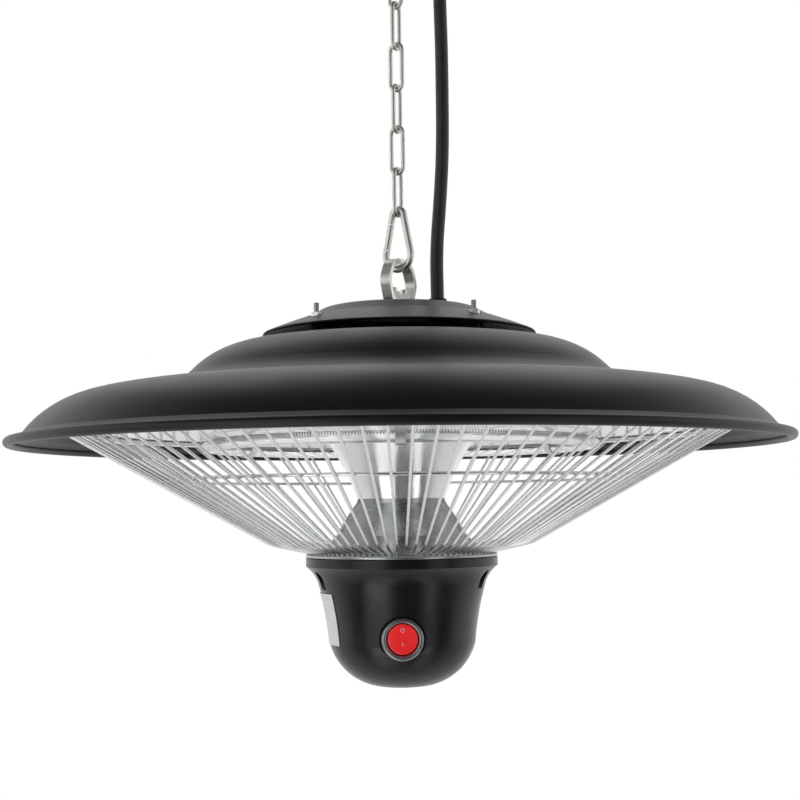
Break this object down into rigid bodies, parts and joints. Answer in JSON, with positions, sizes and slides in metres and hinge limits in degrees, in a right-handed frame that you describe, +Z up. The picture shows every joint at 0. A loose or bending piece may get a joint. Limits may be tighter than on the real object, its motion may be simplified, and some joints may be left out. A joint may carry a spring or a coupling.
{
  "type": "hanging patio heater",
  "caption": "Ceiling-hung electric patio heater: stepped round hood, wire guard around a polished reflector and core, and a switch housing below, on a chain with a snap hook.",
  "frame": {"origin": "centre of the ceiling plate's top face, which lies on the ceiling", "axes": "+Z up into the ceiling, +X to the right and -Y towards the viewer who faces the switch"},
  "size_m": [0.4257, 0.4258, 0.4463],
  "materials": {
    "hood_paint": "satin",
    "zinc_plate": "plated",
    "chrome_wire": "polished",
    "polished_sheet": "polished",
    "black_plastic": "satin",
    "red_plastic": "gloss",
    "black_rubber": "matte",
    "white_ceramic": "matte",
    "quartz": "clear",
    "heater_coil": "dark",
    "brass": "plain"
  },
  "bodies": {
    "ceiling_mount": {"ceiling_plate": "hood_paint", "ceiling_hook": "zinc_plate", "hook_nut": "zinc_plate", "ceiling_bush": "black_rubber"},
    "chain": {"chain_link_1": "zinc_plate", "chain_link_2": "zinc_plate", "chain_link_3": "zinc_plate", "chain_link_4": "zinc_plate", "chain_link_5": "zinc_plate", "chain_link_6": "zinc_plate", "carabiner_body": "zinc_plate", "carabiner_pin": "zinc_plate", "lead_upper": "black_rubber", "lead_lower": "black_rubber"},
    "gate": {"carabiner_gate": "zinc_plate"},
    "rocker": {"switch_rocker": "red_plastic"},
    "heater": {"hood": "hood_paint", "top_cap": "hood_paint", "hanger_strap": "zinc_plate", "hanger_bolts": "zinc_plate", "hanger_nuts": "zinc_plate", "cap_screws": "zinc_plate", "cap_nuts": "zinc_plate", "support_spider": "zinc_plate", "reflector_studs": "zinc_plate", "reflector_spacers": "zinc_plate", "guard_clips": "zinc_plate", "clip_nuts": "zinc_plate", "lamp_clips": "zinc_plate", "centre_tube": "zinc_plate", "tube_nuts": "zinc_plate", "housing_screws": "zinc_plate", "rocker_pin": "zinc_plate", "guard_wires": "chrome_wire", "guard_top_ring": "chrome_wire", "guard_mid_ring": "chrome_wire", "guard_bottom_ring": "chrome_wire", "reflector": "polished_sheet", "upper_cone": "polished_sheet", "lower_bell": "polished_sheet", "control_housing": "black_plastic", "housing_lid": "black_plastic", "switch_body": "black_plastic", "cap_spacers": "black_plastic", "terminal_block": "black_plastic", "cord_bush": "black_rubber", "hanger_washers": "black_rubber", "lamp_end_caps": "white_ceramic", "lamp_tube": "quartz", "lamp_filament": "heater_coil", "switch_blades": "brass"}
  },
  "joints": [
    {"name": "chain_swing", "type": "hinge", "parent": "ceiling_mount", "child": "chain", "pos_m": [0, 0, -0.043], "axis": [0.5, 0.866, 0], "range_deg": [-15, 15], "deforming": ["lead_upper"]},
    {"name": "heater_tilt", "type": "hinge", "parent": "chain", "child": "heater", "pos_m": [0, 0, -0.2161], "axis": [0.866, -0.5, 0], "range_deg": [-12, 12], "deforming": ["lead_lower"]},
    {"name": "gate_open", "type": "hinge", "parent": "chain", "child": "gate", "pos_m": [-0.00689, 0.00398, -0.20709], "axis": [0.5, 0.866, 0], "range_deg": [0, 20], "stiffness_Nm_per_rad": 0.02, "springref_deg": -11.46},
    {"name": "rocker_press", "type": "hinge", "parent": "heater", "child": "rocker", "pos_m": [0, -0.03775, -0.41792], "axis": [1, 0, 0], "range_deg": [0, 14]}
  ]
}
